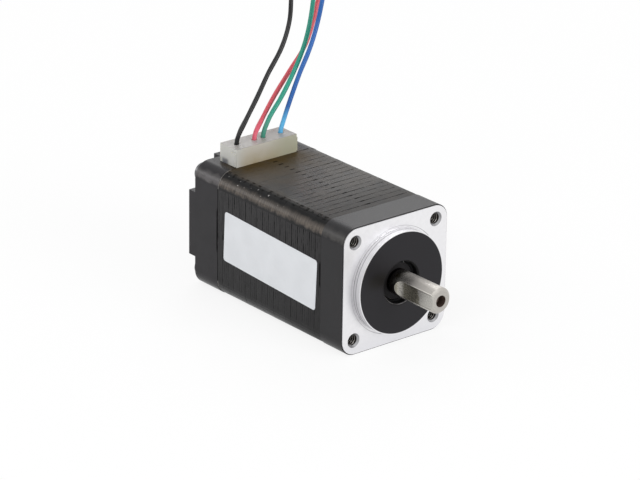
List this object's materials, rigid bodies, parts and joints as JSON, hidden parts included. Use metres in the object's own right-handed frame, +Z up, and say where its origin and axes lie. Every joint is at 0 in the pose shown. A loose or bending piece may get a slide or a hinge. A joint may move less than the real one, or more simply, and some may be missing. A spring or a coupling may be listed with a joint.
{
  "type": "stepper motor",
  "caption": "Square-framed hybrid stepper motor with a pilot boss, a flatted shaft on ball bearings, a toothed rotor and core, and plug-in leads coiled beside it.",
  "frame": {"origin": "centre of the shaft's axis in the plane of the mounting face", "axes": "+X out along the shaft, +Z up through the connector, -Y out of the side that carries the label and the shaft's flat"},
  "size_m": [0.0575, 0.0424, 0.0458],
  "materials": {
    "cap_black": "satin black coating over an aluminium casting; the mounting face is bare turned metal",
    "core_steel": "black stacked steel laminations with fine joint lines",
    "end_frame": "black moulded nylon",
    "copper_wire": "enamelled copper wire, glossy",
    "screw_steel": "plated steel",
    "bearing_steel": "ground and polished steel",
    "seal_rubber": "moulded black nitrile rubber",
    "cage_brass": "pressed brass",
    "spring_steel": "spring steel",
    "board": "green glass-fibre board",
    "header_plastic": "natural nylon",
    "contact_tin": "bright tin plating",
    "terminal_tin": "tin-plated phosphor bronze",
    "plug_plastic": "natural nylon, slightly translucent",
    "label_film": "blank pale silver film",
    "shaft_steel": "ground steel",
    "rotor_steel": "ground stack of toothed laminations",
    "magnet": "nickel-plated magnet",
    "spacer_brass": "turned brass",
    "wire_black": "black insulation",
    "wire_red": "red insulation",
    "wire_green": "green insulation",
    "wire_blue": "blue insulation",
    "tie_film": "pale plastic band",
    "tinned_wire": "tinned strands"
  },
  "bodies": {
    "housing": {"front_cap": "cap_black", "stator_core": "core_steel", "rear_cap": "cap_black", "front_insulator": "end_frame", "rear_insulator": "end_frame", "phase_a_windings": "copper_wire", "phase_b_windings": "copper_wire", "housing_screws": "screw_steel", "front_bearing_outer_ring": "bearing_steel", "front_bearing_seals": "seal_rubber", "rear_bearing_outer_ring": "bearing_steel", "rear_bearing_seals": "seal_rubber", "wave_washer": "spring_steel", "circuit_board": "board", "header_base": "header_plastic", "header_pins": "contact_tin", "plug_housing": "plug_plastic", "crimp_terminals": "terminal_tin", "label": "label_film", "lead_black": "wire_black", "lead_red": "wire_red", "lead_green": "wire_green", "lead_blue": "wire_blue", "coil_black": "wire_black", "coil_red": "wire_red", "coil_green": "wire_green", "coil_blue": "wire_blue", "coil_tie": "tie_film", "lead_tips": "tinned_wire"},
    "rotor": {"shaft": "shaft_steel", "front_rotor_cup": "rotor_steel", "rear_rotor_cup": "rotor_steel", "rotor_magnet": "magnet", "front_spacer": "spacer_brass", "rear_spacer": "spacer_brass", "front_bearing_inner_ring": "bearing_steel", "rear_bearing_inner_ring": "bearing_steel"},
    "front_ball_set": {"front_bearing_balls": "bearing_steel", "front_bearing_cage": "cage_brass"},
    "rear_ball_set": {"rear_bearing_balls": "bearing_steel", "rear_bearing_cage": "cage_brass"}
  },
  "joints": [
    {"name": "rotor_spin", "type": "hinge", "parent": "housing", "child": "rotor", "pos_m": [0, 0, 0], "axis": [1, 0, 0], "continuous": true},
    {"name": "front_ball_orbit", "type": "hinge", "parent": "housing", "child": "front_ball_set", "pos_m": [-0.0015, 0, 0], "axis": [1, 0, 0], "continuous": true},
    {"name": "rear_ball_orbit", "type": "hinge", "parent": "housing", "child": "rear_ball_set", "pos_m": [-0.033, 0, 0], "axis": [1, 0, 0], "continuous": true}
  ],
  "couplings": [
    {"joint": "front_ball_orbit", "follows": "rotor_spin", "ratio": 0.4},
    {"joint": "rear_ball_orbit", "follows": "rotor_spin", "ratio": 0.4}
  ]
}
